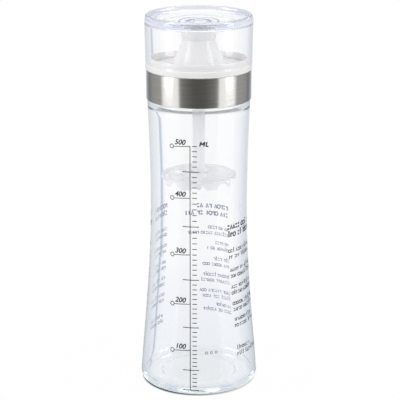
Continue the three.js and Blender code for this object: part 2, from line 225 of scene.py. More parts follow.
def settled(made):
    """Turns a piece with modifiers into one plain mesh."""
    depsgraph = bpy.context.evaluated_depsgraph_get()
    mesh = bpy.data.meshes.new_from_object(made.evaluated_get(depsgraph))
    made.modifiers.clear()
    old = made.data
    made.data = mesh
    bpy.data.meshes.remove(old)


# Geometry Nodes helpers

def node_tree(name, **kinds):
    """A tree that takes and gives geometry, with more inputs by kind and the material last."""
    tree = bpy.data.node_groups.new(name, "GeometryNodeTree")
    for in_out in ("INPUT", "OUTPUT"):
        tree.interface.new_socket("Geometry", in_out=in_out, socket_type="NodeSocketGeometry")
    for title, kind in {**kinds, "Material": "Material"}.items():
        tree.interface.new_socket(title, in_out="INPUT", socket_type=f"NodeSocket{kind}")
    return tree, tree.nodes.new("NodeGroupInput"), tree.nodes.new("NodeGroupOutput")


def feed(tree, node, *in_order, **by_name):
    """Gives a node's inputs, in order or by name, values or other nodes' outputs."""
    named = [(node.inputs[name.replace("_", " ")], value) for name, value in by_name.items()]
    for socket, value in [*zip(node.inputs, in_order), *named]:
        if isinstance(value, bpy.types.NodeSocket):
            tree.links.new(value, socket)
        else:
            socket.default_value = value
    return node


def add_node(tree, kind, *in_order, **by_name):
    return feed(tree, tree.nodes.new(kind), *in_order, **by_name)


def math_node(tree, operation, *values):
    node = tree.nodes.new("ShaderNodeMath")
    node.operation = operation
    return feed(tree, node, *values).outputs[0]


def vector_node(tree, operation, *values):
    """A vector, or the number that a distance, a dot product or a length gives."""
    node = tree.nodes.new("ShaderNodeVectorMath")
    node.operation = operation
    gives_number = operation in ("DISTANCE", "DOT_PRODUCT", "LENGTH")
    return feed(tree, node, *values).outputs["Value" if gives_number else "Vector"]


def axes(tree, vector):
    return add_node(tree, "ShaderNodeSeparateXYZ", vector).outputs


def joined(tree, **axis_values):
    return add_node(tree, "ShaderNodeCombineXYZ", **axis_values).outputs[0]


def set_input(modifier, name, value):
    for item in modifier.node_group.interface.items_tree:
        if item.item_type == "SOCKET" and item.in_out == "INPUT" and item.name == name:
            modifier[item.identifier] = value
            return
    raise ValueError(name)


def end_tree(tree, group_in, group_out, geometry):
    """Realize Instances and Set Material, the end of every tree."""
    real = add_node(tree, "GeometryNodeRealizeInstances", Geometry=geometry)
    paint = add_node(tree, "GeometryNodeSetMaterial", Geometry=real.outputs["Geometry"],
                     Material=group_in.outputs["Material"])
    feed(tree, group_out, Geometry=paint.outputs["Geometry"])


def run_tree(made, tree, **inputs):
    modifier = made.modifiers.new(tree.name, "NODES")
    modifier.node_group = tree
    for name, value in inputs.items():
        set_input(modifier, name, value)
    settled(made)


# Materials

# What a shadow or diffuse ray keeps at each surface of a clear piece that it passes
SLIGHT_TINT = (0.98, 0.98, 0.985)


def new_material(name):
    material = bpy.data.materials.new(name)
    material.use_nodes = True
    tree = material.node_tree
    shader = tree.nodes["Principled BSDF"]
    output = tree.nodes["Material Output"]
    return material, tree, shader, output


def object_coordinates(tree):
    return tree.nodes.new("ShaderNodeTexCoord").outputs["Object"]


def object_noise(tree, scale, detail=3.0, stretch=(1, 1, 1)):
    mapping = add_node(tree, "ShaderNodeMapping", Vector=object_coordinates(tree), Scale=stretch)
    noise = add_node(tree, "ShaderNodeTexNoise", Vector=mapping.outputs["Vector"],
                     Scale=scale, Detail=detail)
    return noise.outputs["Fac"]


def ranged(tree, value, low, high, source=(0.3, 0.7)):
    return add_node(tree, "ShaderNodeMapRange", value, *source, low, high).outputs["Result"]


def mixed_colour(tree, factor, first, second):
    """From the first colour to the second as the factor goes from 0 to 1. Each is a colour or
    another node's output."""
    node = tree.nodes.new("ShaderNodeMix")
    node.data_type = "RGBA"
    first, second = ((*c, 1) if isinstance(c, tuple) else c for c in (first, second))
    return feed(tree, node, Factor=factor, A=first, B=second).outputs["Result"]


def drifting(tree, shader, by, colours, roughness):
    """Colour and roughness that drift between two values each."""
    feed(tree, shader, Base_Color=mixed_colour(tree, by, *colours),
         Roughness=ranged(tree, by, *roughness))


def mixed_shader(tree, factor, first, second, output):
    mix = add_node(tree, "ShaderNodeMixShader", factor, first.outputs[0], second.outputs[0])
    feed(tree, output, Surface=mix.outputs[0])


def add_bump(tree, shader, height, strength, distance):
    bump = add_node(tree, "ShaderNodeBump", Strength=strength, Distance=distance, Height=height)
    feed(tree, shader, Normal=bump.outputs["Normal"])


def lets_lamps_through(tree, shader, output, tint, deep_tint):
    """Shadow and diffuse rays pass, so that what is inside is lit and the shadow is pale. Rays
    that are thrown to and fro inside thick places leave them with the colour of a long way
    through the material, instead of dying out."""
    most_bounces = 4
    rays = tree.nodes.new("ShaderNodeLightPath").outputs
    passing = math_node(tree, "MAXIMUM", rays["Is Shadow Ray"], rays["Is Diffuse Ray"])
    caught = math_node(tree, "GREATER_THAN", rays["Ray Depth"], most_bounces)
    deep = math_node(tree, "SUBTRACT", caught, passing)
    passed = mixed_colour(tree, deep, tint, deep_tint)
    clear = add_node(tree, "ShaderNodeBsdfTransparent", Color=passed)
    mixed_shader(tree, math_node(tree, "MAXIMUM", passing, caught), shader, clear, output)


def clear_material(name, roughness, wave, deep_tint, absorbed, density):
    """Clear and colourless, with a tint that grows with the way through it."""
    material, tree, shader, output = new_material(name)
    drift = object_noise(tree, scale=34.0, detail=2.0, stretch=(1, 1, 0.35))
    feed(tree, shader, Base_Color=(1, 1, 1, 1), IOR=1.5, Transmission_Weight=1.0,
         Specular_IOR_Level=0.15, Roughness=ranged(tree, drift, roughness * 0.4, roughness))
    depth = add_node(tree, "ShaderNodeVolumeAbsorption", Color=(*absorbed, 1), Density=density)
    feed(tree, output, Volume=depth.outputs[0])
    add_bump(tree, shader, drift, strength=wave, distance=0.002)
    lets_lamps_through(tree, shader, output, SLIGHT_TINT, deep_tint)
    return material


def glass_material():
    return clear_material("bottle_glass", roughness=0.02, wave=0.035, deep_tint=(0.9, 0.925, 0.925),
                          absorbed=(0.6, 0.76, 0.79), density=5.0)


def cap_material():
    return clear_material("clear_styrene", roughness=0.03, wave=0.02, deep_tint=(0.84, 0.86, 0.91),
                          absorbed=(0.76, 0.79, 0.95), density=4.0)


def white_plastic_material():
    material, tree, shader, _ = new_material("white_moulded_plastic")
    drift = object_noise(tree, scale=60.0)
    grain = object_noise(tree, scale=2600.0, detail=2.0)
    drifting(tree, shader, drift, ((0.88, 0.88, 0.875), (0.91, 0.91, 0.905)), (0.13, 0.19))
    feed(tree, shader, Subsurface_Weight=0.12, Subsurface_Scale=0.002, IOR=1.49)
    add_bump(tree, shader, grain, strength=0.06, distance=0.0002)
    return material


def milky_plastic_material():
    material, tree, shader, output = new_material("milky_moulded_plastic")
    drift = object_noise(tree, scale=90.0)
    drifting(tree, shader, drift, ((0.98, 0.982, 0.988), (0.994, 0.995, 0.997)), (0.38, 0.46))
    feed(tree, shader, Transmission_Weight=0.55, IOR=1.35)
    add_bump(tree, shader, drift, strength=0.02, distance=0.0005)
    lets_lamps_through(tree, shader, output, SLIGHT_TINT, (0.96, 0.965, 0.97))
    return material


def steel_material():
    """Steel brushed round the band: fine lines that run round it and change with height."""
    material, tree, shader, _ = new_material("brushed_steel")
    stretched_up = 1800.0
    x, y, z = axes(tree, object_coordinates(tree))
    turn = math_node(tree, "ARCTAN2", y, x)
    round_band = joined(tree, X=math_node(tree, "COSINE", turn), Y=math_node(tree, "SINE", turn),
                        Z=math_node(tree, "MULTIPLY", z, stretched_up))
    lines = add_node(tree, "ShaderNodeTexNoise", Vector=round_band, Scale=2.2, Detail=4.0,
                     Roughness=0.65)
    brushing = lines.outputs["Fac"]
    drifting(tree, shader, brushing, ((0.58, 0.57, 0.545), (1.0, 0.99, 0.965)), (0.13, 0.21))
    tangent = tree.nodes.new("ShaderNodeTangent")
    tangent.direction_type, tangent.axis = "RADIAL", "Z"
    feed(tree, shader, Metallic=1.0, Anisotropic=0.85, Anisotropic_Rotation=0.25,
         Tangent=tangent.outputs[0])
    add_bump(tree, shader, brushing, strength=0.1, distance=0.0001)
    return material


def silicone_material():
    material, tree, shader, _ = new_material("silicone")
    drift = object_noise(tree, scale=120.0)
    drifting(tree, shader, drift, ((0.78, 0.8, 0.79), (0.84, 0.85, 0.84)), (0.5, 0.65))
    feed(tree, shader, Subsurface_Weight=0.2, Subsurface_Scale=0.001)
    return material


def ink_material():
    """Dark ink, paler and bluish on the side that lies against the glass."""
    material, tree, shader, _ = new_material("screen_print_ink")
    speckle = object_noise(tree, scale=1800.0, detail=2.0)
    outer = mixed_colour(tree, speckle, (0.012, 0.011, 0.013), (0.03, 0.027, 0.03))
    outward = vector_node(tree, "MULTIPLY", object_coordinates(tree), (1, 1, 0))
    normal = tree.nodes.new("ShaderNodeNewGeometry").outputs["Normal"]
    facing_out = vector_node(tree, "DOT_PRODUCT", outward, normal)
    against_glass = math_node(tree, "LESS_THAN", facing_out, 0.0)
    feed(tree, shader, Roughness=ranged(tree, speckle, 0.4, 0.6),
         Base_Color=mixed_colour(tree, against_glass, outer, (0.24, 0.28, 0.42)))
    return material


GLASS = glass_material()
CLEAR = cap_material()
WHITE = white_plastic_material()
MILKY = milky_plastic_material()
STEEL = steel_material()
SILICONE = silicone_material()
INK = ink_material()


def placed(made, material, body, slot, *nodes):
    made.data.materials.clear()
    made.data.materials.append(material)
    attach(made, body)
    if nodes:
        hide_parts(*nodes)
    return made


# Screw thread, in Geometry Nodes: it moves the points of a round wall out or in along a helix

def eased(tree, value, reach):
    """From 0 to 1 as the value goes from 0 to reach, softly at both ends."""
    node = add_node(tree, "ShaderNodeMapRange", Value=value, From_Max=reach)
    node.interpolation_type = "SMOOTHSTEP"
    return node.outputs["Result"]


def thread_tree():
    crest_shape = 0.7
    run_in = 0.5
    wall_tolerance = 0.0001
    tree, group_in, group_out = node_tree(
        "screw_thread", Radius="Float", Depth="Float", Pitch="Float", Start="Float", End="Float")
    given = group_in.outputs
    x, y, z = axes(tree, tree.nodes.new("GeometryNodeInputPosition").outputs[0])
    radius = math_node(tree, "SQRT", math_node(tree, "ADD", math_node(tree, "MULTIPLY", x, x),
                                               math_node(tree, "MULTIPLY", y, y)))
    turn = math_node(tree, "DIVIDE", math_node(tree, "ARCTAN2", y, x), 2 * math.pi)
    climb = math_node(tree, "DIVIDE", math_node(tree, "SUBTRACT", z, given["Start"]), given["Pitch"])
    left = math_node(tree, "DIVIDE", math_node(tree, "SUBTRACT", given["End"], z), given["Pitch"])
    phase = math_node(tree, "MULTIPLY", math_node(tree, "SUBTRACT", climb, turn), 2 * math.pi)
    crest = math_node(tree, "MAXIMUM", math_node(tree, "COSINE", phase), 0.0)
    height = math_node(tree, "POWER", crest, crest_shape)
    on_wall = math_node(tree, "COMPARE", radius, given["Radius"], wall_tolerance)
    for factor in (given["Depth"], eased(tree, climb, run_in), eased(tree, left, run_in), on_wall):
        height = math_node(tree, "MULTIPLY", height, factor)
    share = math_node(tree, "DIVIDE", height, radius)
    offset = joined(tree, X=math_node(tree, "MULTIPLY", x, share),
                    Y=math_node(tree, "MULTIPLY", y, share))
    move = add_node(tree, "GeometryNodeSetPosition", Geometry=given["Geometry"], Offset=offset)
    end_tree(tree, group_in, group_out, move.outputs["Geometry"])
    return tree


# Glass bottle

def bottle_side():
    foot = bezier([(HEEL_R, HEEL_Z), (HEEL_R - HEEL_FLARE, HEEL_Z + HEEL_FLARE_Z),
                   (WAIST_R, WAIST_Z - WAIST_REACH_DOWN), (WAIST_R, WAIST_Z)], SIDE_STEPS)
    top_z = SHOULDER_Z - SHOULDER_FILLET
    top = bezier([(WAIST_R, WAIST_Z), (WAIST_R, WAIST_Z + WAIST_REACH_UP),
                  (SHOULDER_R - SHOULDER_FLARE, top_z - SHOULDER_FLARE_Z),
                  (SHOULDER_R, top_z)], SIDE_STEPS)
    return foot + top[1:]


SIDE = bottle_side()


def make_bottle(thread):
    bore_r = NECK_R - NECK_WALL
    wall_foot = GLASS_BASE + INNER_HEEL_FILLET
    foot_r = HEEL_R - GLASS_WALL - (wall_foot - HEEL_Z) * HEEL_FLARE / HEEL_FLARE_Z
    above_foot = 1
    # The inner wall, from the shoulder down to the heel
    inside = [(r - GLASS_WALL, z) for r, z in SIDE
              if wall_foot + above_foot < z < SHOULDER_Z - SHOULDER_SLOPE_Z][::-1]
    slope_rise, slope_bulge = 2, 0.3
    slope = bezier([(bore_r, SHOULDER_Z + slope_rise), (bore_r, SHOULDER_Z - GLASS_WALL),
                    (inside[0][0] + slope_bulge, SHOULDER_Z - GLASS_WALL), inside[0]], steps=10)[:-1]
    punt_top_r, punt_lead, punt_round = PUNT_R - PUNT_SLOPE, 1, 0.6
    punt_edge = bezier([(punt_top_r, PUNT_DEPTH), (PUNT_R - punt_lead, PUNT_DEPTH),
                        (PUNT_R - punt_round, 0), (PUNT_R + punt_round, 0)], steps=8)
    rim_fillet, neck_foot_fillet, neck_steps = 0.9, 1, 40
    neck_foot_z, neck_top_z = SHOULDER_Z + neck_foot_fillet, RIM_Z - rim_fillet
    level_floor_r = 12
    outline = (
        [(0, PUNT_DEPTH), (punt_top_r - punt_lead, PUNT_DEPTH)]
        + punt_edge
        + arc(STAND_R, HEEL_Z, HEEL_R - STAND_R, HEEL_Z, -90, 0, steps=12)
        + SIDE[1:-1]
        + arc(SHOULDER_R - SHOULDER_FILLET, SHOULDER_Z - SHOULDER_FILLET,
              SHOULDER_FILLET, SHOULDER_FILLET, 0, 90, steps=8)
        + bezier([(NECK_R + neck_foot_fillet, SHOULDER_Z), (NECK_R, SHOULDER_Z),
                  (NECK_R, neck_foot_z)], steps=4)
        + between((NECK_R, neck_foot_z), (NECK_R, neck_top_z), neck_steps)
        + arc(NECK_R - rim_fillet, neck_top_z, rim_fillet, rim_fillet, 0, 90)[1:]
        + arc(bore_r + rim_fillet, neck_top_z, rim_fillet, rim_fillet, 90, 180)
        + slope
        + inside
        + arc(foot_r - INNER_HEEL_FILLET, wall_foot,
              INNER_HEEL_FILLET, INNER_HEEL_FILLET, 0, -90, steps=10)
        + [(level_floor_r, GLASS_BASE), (0, GLASS_BASE)]
    )
    bottle = turned("bottle_glass_shape", outline)
    thread_rise, thread_drop = 3.5, 2.5
    run_tree(bottle, thread, Radius=NECK_R * MM, Depth=THREAD_DEPTH * MM,
             Pitch=THREAD_PITCH * MM, Start=(SHOULDER_Z + thread_rise) * MM,
             End=(RIM_Z - thread_drop) * MM, Material=GLASS)
    return placed(smooth(bottle), GLASS, "bottle", "glass", "glass_bottle")


# Head

def make_gasket():
    bore_r = NECK_R - NECK_WALL
    edge = 0.35
    outline = rounded([(bore_r, GASKET_Z, edge), (GASKET_R, GASKET_Z, edge),
                       (GASKET_R, GASKET_TOP_Z, edge), (bore_r, GASKET_TOP_Z, edge)])
    return placed(turned("gasket_ring", outline), SILICONE, "neck_seal", "silicone", "neck_gasket")


def make_collar(thread):
    bead_z, bead_half, bead_out = FLANGE_TOP_Z + 2.6, 0.5, 0.15
    bore_steps = 60
    bore = between((COLLAR_BORE_R, LEDGE_Z), (COLLAR_BORE_R, COLLAR_FOOT_Z), bore_steps)[:-1]
    outline = rounded([
        (COLLAR_BORE_R, COLLAR_FOOT_Z, 0.0), (COLLAR_R, COLLAR_FOOT_Z, 0.4),
        (COLLAR_R, FLANGE_Z, 0.0), (FLANGE_R, FLANGE_Z, 0.35), (FLANGE_R, FLANGE_TOP_Z, 0.5),
        (UPSTAND_R, FLANGE_TOP_Z, 0.3), (UPSTAND_R, bead_z - bead_half, 0.0),
        (UPSTAND_R + bead_out, bead_z, 0.2), (UPSTAND_R, bead_z + bead_half, 0.0),
        (UPSTAND_R, UPSTAND_TOP_Z, 0.5), (UPSTAND_INNER_R, UPSTAND_TOP_Z, 0.5),
        (UPSTAND_INNER_R, LEDGE_TOP_Z, 0.0), (LEDGE_R, LEDGE_TOP_Z, 0.3), (LEDGE_R, LEDGE_Z, 0.3),
        (COLLAR_BORE_R, LEDGE_Z, 0.0),
    ]) + bore
    collar = turned("collar_shape", outline)
    thread_rise, thread_drop = 2.0, 4.5
    run_tree(collar, thread, Radius=COLLAR_BORE_R * MM, Depth=-THREAD_DEPTH * MM,
             Pitch=THREAD_PITCH * MM, Start=(COLLAR_FOOT_Z + thread_rise) * MM,
             End=(LEDGE_Z - thread_drop) * MM, Material=WHITE)
    return placed(smooth(collar), WHITE, "head", "white_plastic", "screw_collar")


def make_band():
    hem = 0.9
    outline = rounded([
        (BAND_R - hem, BAND_FOOT_Z, 0.15), (BAND_R, BAND_FOOT_Z, 0.55), (BAND_R, BAND_TOP_Z, 0.2),
        (BAND_R - BAND_T, BAND_TOP_Z, 0.15), (BAND_R - BAND_T, BAND_FOOT_Z + BAND_T, 0.15),
        (BAND_R - hem, BAND_FOOT_Z + BAND_T, 0.15),
    ])
    return placed(turned("band_sleeve", outline, sharp_from=50), STEEL, "head", "steel", "steel_band")


def rib_tree():
    """Copies a rib round the axis, in Geometry Nodes."""
    tree, group_in, group_out = node_tree("ribs_round_axis", Count="Int", Offset="Float")
    given = group_in.outputs
    points = add_node(tree, "GeometryNodePoints", Count=given["Count"])
    index = tree.nodes.new("GeometryNodeInputIndex").outputs[0]
    step = math_node(tree, "DIVIDE", 2 * math.pi, given["Count"])
    turn = math_node(tree, "ADD", math_node(tree, "MULTIPLY", index, step), given["Offset"])
    copies = add_node(tree, "GeometryNodeInstanceOnPoints", Points=points.outputs[0],
                      Instance=given["Geometry"], Rotation=joined(tree, Z=turn))
    end_tree(tree, group_in, group_out, copies.outputs["Instances"])
    return tree


def plate(name, x0, x1, width, thickness, z, pitch=0.0, bow=0.0, steps=12):
    """A thin radial plate along +X: pitched about X, and bowed down across its width."""
    across = 6
    vertices, faces = [], []
    for face_side in (1, -1):
        for i in range(steps + 1):
            for j in range(across + 1):
                x = x0 + (x1 - x0) * i / steps
                v = j / across - 0.5
                lift = face_side * thickness / 2 - bow * (2 * v) ** 2
                y = v * width * math.cos(pitch) - lift * math.sin(pitch)
                rise = v * width * math.sin(pitch) + lift * math.cos(pitch)
                vertices.append((x * MM, y * MM, (z + rise) * MM))
    row = across + 1
    under = row * (steps + 1)
    for i in range(steps):
        for j in range(across):
            a, b = i * row + j, (i + 1) * row + j
            faces.append([a, b, b + 1, a + 1])
            faces.append([under + a + 1, under + b + 1, under + b, under + a])
    for i in range(steps):
        for j in (0, across):
            a, b = i * row + j, (i + 1) * row + j
            side = [a, under + a, under + b, b]
            faces.append(side if j == 0 else side[::-1])
    for j in range(across):
        for i in (0, steps):
            a, b = i * row + j, i * row + j + 1
            end = [a, b, under + b, under + a]
            faces.append(end if i == 0 else end[::-1])
    return mesh_object(name, vertices, faces)


def united(made, *others):
    """Joins closed solids into one closed solid."""
    for other in others:
        modifier = made.modifiers.new("union", "BOOLEAN")
        modifier.operation = "UNION"
        modifier.solver = "EXACT"
        modifier.use_self = True
        modifier.object = other
    settled(made)
    for other in others:
        bpy.data.objects.remove(other)


def make_spout(ribs):
    cone_top = FLOOR_Z + CONE_H
    foot_lift, wall_drop = 0.2, 0.9
    outer = bezier([(CONE_BASE_R, FLOOR_Z + foot_lift), (CONE_HOLLOW_R, FLOOR_Z + CONE_HOLLOW_Z),
                    (CONE_TOP_R, cone_top)], steps=20)
    inner = bezier([(NOZZLE_BORE_R, cone_top),
                    (CONE_HOLLOW_R - SPOUT_WALL, FLOOR_Z + CONE_HOLLOW_Z - wall_drop),
                    (CONE_BASE_R - SPOUT_WALL, FLOOR_Z - wall_drop)], steps=16)
    foot_fillet = 1.0
    foot = bezier([(CONE_BASE_R + foot_fillet, FLOOR_Z), (CONE_BASE_R, FLOOR_Z), outer[1]],
                  steps=5)[:-1]
    step_rise, step_h, step_in, step_drop = 0.7, 0.55, 0.15, 0.25
    step_z = cone_top + step_rise
    nozzle_step = [(CONE_TOP_R, step_z - step_h), (NOZZLE_R - step_in, step_z - step_drop),
                   (NOZZLE_R, step_z)]
    lip = 0.6
    skirt_gap, skirt_wall, skirt_h = 0.4, 1.4, 6.2
    skirt_r = LEDGE_R - skirt_gap
    skirt_inner = skirt_r - skirt_wall
    skirt_z = FLOOR_UNDER_Z - skirt_h
    outline = (
        rounded([(SPOUT_R, FLOOR_UNDER_Z, 0.0), (SPOUT_R, FLOOR_Z, 0.3),
                 (CONE_BASE_R + 1.2, FLOOR_Z, 0.0)])[:-1]
        + foot
        + outer[1:]
        + nozzle_step
        + arc(NOZZLE_R - lip, NOZZLE_TOP_Z - lip, lip, lip, 0, 90)
        + arc(NOZZLE_BORE_R + lip, NOZZLE_TOP_Z - lip, lip, lip, 90, 180)
        + inner
        + rounded([(CONE_BASE_R - SPOUT_WALL, FLOOR_UNDER_Z, 0.0), (skirt_inner, FLOOR_UNDER_Z, 0.0),
                   (skirt_inner, skirt_z, 0.3), (skirt_r, skirt_z, 0.3), (skirt_r, FLOOR_UNDER_Z, 0.0)])
    )
    spout = turned("spout_shape", outline)
    # How deep the socket and its ribs go into what carries them
    in_floor, in_hub, in_skirt = 0.3, 1.0, 0.6
    socket_top = FLOOR_UNDER_Z + in_floor
    rib_h, rib_t, rib_drop = 5.0, 1.6, 2.6
    rib = plate("socket_rib", SOCKET_BORE_R + in_hub, skirt_inner + in_skirt, rib_h, rib_t,
                socket_top - rib_drop, math.pi / 2)
    run_tree(rib, ribs, Count=4, Offset=0.0, Material=WHITE)
    bore_top = SOCKET_Z + SOCKET_DEPTH
    hub = turned("socket_hub", rounded([
        (SOCKET_BORE_R, SOCKET_Z, 0.3), (SOCKET_HUB_R, SOCKET_Z, 0.6), (SOCKET_HUB_R, socket_top, 0.4),
        (0, socket_top, 0.0), (0, bore_top, 0.0), (SOCKET_BORE_R, bore_top, 0.0),
    ]), ROUND_SMALL)
    united(spout, rib, hub)
    return placed(smooth(spout), WHITE, "head", "white_plastic", "pouring_spout")


# Rod, tip and disc

def make_rod():
    head_r = 3.0
    outline = rounded([
        (0, ROD_FOOT_Z, 0.0), (SPIGOT_R, ROD_FOOT_Z, 0.3), (SPIGOT_R, ROD_END_Z, 0.0),
        (ROD_R, ROD_END_Z, 0.6), (ROD_R, ROD_TOP_Z, 0.3), (head_r, ROD_TOP_Z, 0.0),
        (head_r, ROD_HEAD_Z, 0.4), (0, ROD_HEAD_Z, 0.0),
    ])
    rod = turned("rod_shape", outline, ROUND_SMALL)
    return placed(rod, MILKY, "head", "milky_plastic", "mixing_rod")


def make_tip():
    bore_r = SPIGOT_R + SPIGOT_GAP
    bore_depth, straight_h, point_r = 2.7, 1.6, 0.5
    bore_z = TIP_TOP_Z - bore_depth
    outline = rounded([
        (0, TIP_Z, 0.0), (point_r, TIP_Z, 0.3), (TIP_R, TIP_TOP_Z - straight_h, 1.0),
        (TIP_R, TIP_TOP_Z, 0.3), (bore_r, TIP_TOP_Z, 0.2), (bore_r, bore_z, 0.0), (0, bore_z, 0.0),
    ])
    tip = turned("tip_shape", outline, ROUND_SMALL)
    return placed(tip, MILKY, "head", "milky_plastic", "rod_tip")


def make_disc(ribs):
    """Flat ring with a skirt of eight lobes, and eight pitched blades from the hub."""
    ring_t, ring_w = 1.6, 4.4
    skirt_in, skirt_t, skirt_h = 2.4, 1.4, 4.4
    skirt_outer = DISC_R - skirt_in
    skirt_inner = skirt_outer - skirt_t
    scallop_r, scallop_drop = 5.0, 7.4
    scallop_z = DISC_Z - scallop_drop
    blades = 8
    lobe_turn = 2 * math.pi / blades
    under_z = DISC_Z - ring_t
    skirt_mark = -1
    outline = rounded([
        (DISC_R - ring_w, under_z, 0.3), (skirt_inner, under_z, 0.2),
        (skirt_inner, skirt_mark, 0.0), (skirt_outer, skirt_mark, 0.0), (skirt_outer, under_z, 0.2),
        (DISC_R, under_z, 0.5), (DISC_R, DISC_Z, 0.5), (DISC_R - ring_w, DISC_Z, 0.3),
    ], steps=3)
    ring = turned("disc_shape", outline, steps=240)
    # The skirt's foot was drawn below the ground, so that it is told from the rest here
    for vertex in ring.data.vertices:
        if vertex.co.z < 0:
            angle = math.atan2(vertex.co.y, vertex.co.x) % lobe_turn
            away = min(angle, lobe_turn - angle) * skirt_outer
            low = under_z - skirt_h
            if away < scallop_r:
                low = max(low, scallop_z + math.sqrt(scallop_r ** 2 - away ** 2))
            vertex.co.z = low * MM
    blade_inner_r, blade_w, blade_t, blade_drop = 4.5, 5.2, 1.1, 2.7
    blade_pitch, blade_bow = math.radians(40), 0.35
    blade = plate("blade", blade_inner_r, DISC_R - ring_w / 2, blade_w, blade_t, DISC_Z - blade_drop,
                  blade_pitch, blade_bow)
    run_tree(blade, ribs, Count=blades, Offset=math.pi / blades, Material=MILKY)
    bore_r = SPIGOT_R + SPIGOT_GAP
    hub_foot_r, hub_r = 5.0, 6.0
    hub = turned("disc_hub", rounded([
        (bore_r, DISC_UNDER_Z, 0.2), (hub_foot_r, DISC_UNDER_Z, 0.5), (hub_r, DISC_HUB_Z, 0.6),
        (bore_r, DISC_HUB_Z, 0.3),
    ]), ROUND_SMALL)
    united(ring, blade, hub)
    return placed(smooth(ring), MILKY, "agitator", "milky_plastic", "mixing_disc")


# Clear cap

def make_cap():
    inner_r = FLANGE_R - CAP_WALL
    inner_top_r = CAP_TOP_R - CAP_WALL
    dish_z = CAP_TOP_Z - CAP_DISH
    edge_z = CAP_TOP_Z - CAP_DISH_EDGE
    plate_z = dish_z - CAP_PLATE_T
    taper = (FLANGE_R - CAP_TOP_R) / (CAP_TOP_Z - CAP_Z)
    rim_w, rim_drop, rim_fillet = 3.0, 4.0, 1.2
    rim_bulge_z, rim_bulge_r = 0.45, 0.55
    rim_inner = CAP_TOP_R - rim_w
    crest_r = rim_inner + rim_fillet
    shoulder_r, shoulder_z = CAP_TOP_R + taper * rim_drop, CAP_TOP_Z - rim_drop
    shoulder = bezier([(shoulder_r, shoulder_z), (CAP_TOP_R, CAP_TOP_Z - rim_bulge_z * rim_drop),
                       (crest_r + rim_bulge_r * (CAP_TOP_R - crest_r), CAP_TOP_Z),
                       (crest_r, CAP_TOP_Z)], steps=10)[:-1]
    # The bowl leaves the rim nearly level, falls between slope_r and level_r, and ends level
    slope_r, level_r, slope_drop = 28.0, 26.0, 0.5
    bowl_r = rim_inner - CAP_DISH_FILLET
    bowl = bezier([(bowl_r, edge_z), (slope_r, edge_z - slope_drop), (level_r, dish_z),
                   (CAP_RING_R, dish_z)], steps=14)[1:]
    under_fillet, under_z = 1.4, edge_z - CAP_PLATE_T
    under_r = inner_top_r - under_fillet
    under = bezier([(CAP_RING_R, plate_z), (level_r, plate_z), (slope_r, under_z - slope_drop),
                    (under_r, under_z)], steps=14)[1:]
    ring_drop, ring_slope = 0.3, 0.2
    ring_z = dish_z - ring_drop
    bead_r, bead_half, bead_h = 12.7, 0.6, 0.5
    plug_gap, plug_wall, plug_h = 0.3, 1.5, 5.5
    plug_r = NOZZLE_BORE_R - plug_gap
    hollow_r = plug_r - plug_wall
    plug_z = plate_z - plug_h
    plug_floor = plug_z + plug_wall
    foot_h = 1.0
    outline = (
        rounded([(inner_r, CAP_Z + foot_h, 0.0), (inner_r, CAP_Z, 0.4), (FLANGE_R, CAP_Z, 0.5),
                 (shoulder_r, shoulder_z, 0.0)])[:-1]
        + shoulder
        + arc(crest_r, CAP_TOP_Z - rim_fillet, rim_fillet, rim_fillet, 90, 180)
        + arc(bowl_r, edge_z + CAP_DISH_FILLET, CAP_DISH_FILLET, CAP_DISH_FILLET, 0, -90)[1:]
        + bowl
        + rounded([
            (CAP_RING_R - ring_slope, ring_z, 0.0), (bead_r + bead_half, ring_z, 0.3),
            (bead_r, ring_z + bead_h, 0.35), (bead_r - bead_half, ring_z, 0.3),
            (hollow_r, ring_z, 3.2), (hollow_r, plug_floor, 0.8), (0, plug_floor, 0.0),
            (0, plug_z, 0.0), (plug_r, plug_z, 1.0), (plug_r, plate_z, 0.4), (CAP_RING_R, plate_z, 0.0),
        ], steps=8)
        + under
        + arc(under_r, under_z - under_fillet, under_fillet, under_fillet, 90, 0)[1:]
    )
    return placed(turned("cap_shape", outline), CLEAR, "cap", "clear_plastic", "clear_cap")


# Print on the glass: drawn flat, with X along the surface and Z up, then wrapped round the bottle

LINE_W = 0.5
# Rays start this far from the axis, in metres
RAY_START = 0.08


def glass_at(tree, glass, turn, height):
    """Where a ray from outside meets the glass, and the way out from there."""
    outward = joined(tree, X=math_node(tree, "COSINE", turn), Y=math_node(tree, "SINE", turn))
    start = vector_node(tree, "MULTIPLY_ADD", outward, (RAY_START, RAY_START, RAY_START), height)
    inward = vector_node(tree, "MULTIPLY", outward, (-1, -1, -1))
    ray = add_node(tree, "GeometryNodeRaycast", Target_Geometry=glass, Source_Position=start,
                   Ray_Direction=inward)
    return ray.outputs["Hit Position"], outward


def wrap_tree():
    """Lays flat artwork on the bottle: X becomes an arc, and a ray finds the glass."""
    tree, group_in, group_out = node_tree("print_on_glass", Bottle="Object", Angle="Float")
    given = group_in.outputs
    bottle = add_node(tree, "GeometryNodeObjectInfo", Object=given["Bottle"])
    bottle.transform_space = "RELATIVE"
    glass = bottle.outputs["Geometry"]
    x, y, z = axes(tree, tree.nodes.new("GeometryNodeInputPosition").outputs[0])
    height = joined(tree, Z=z)
    straight_on, _ = glass_at(tree, glass, given["Angle"], height)
    arc_turn = math_node(tree, "DIVIDE", x, vector_node(tree, "DISTANCE", straight_on, height))
    turn = math_node(tree, "ADD", given["Angle"], arc_turn)
    spot, outward = glass_at(tree, glass, turn, height)
    lift = vector_node(tree, "MULTIPLY", outward, math_node(tree, "MULTIPLY", y, -1.0))
    move = add_node(tree, "GeometryNodeSetPosition", Geometry=given["Geometry"],
                    Position=vector_node(tree, "ADD", spot, lift))
    end_tree(tree, group_in, group_out, move.outputs["Geometry"])
    return tree


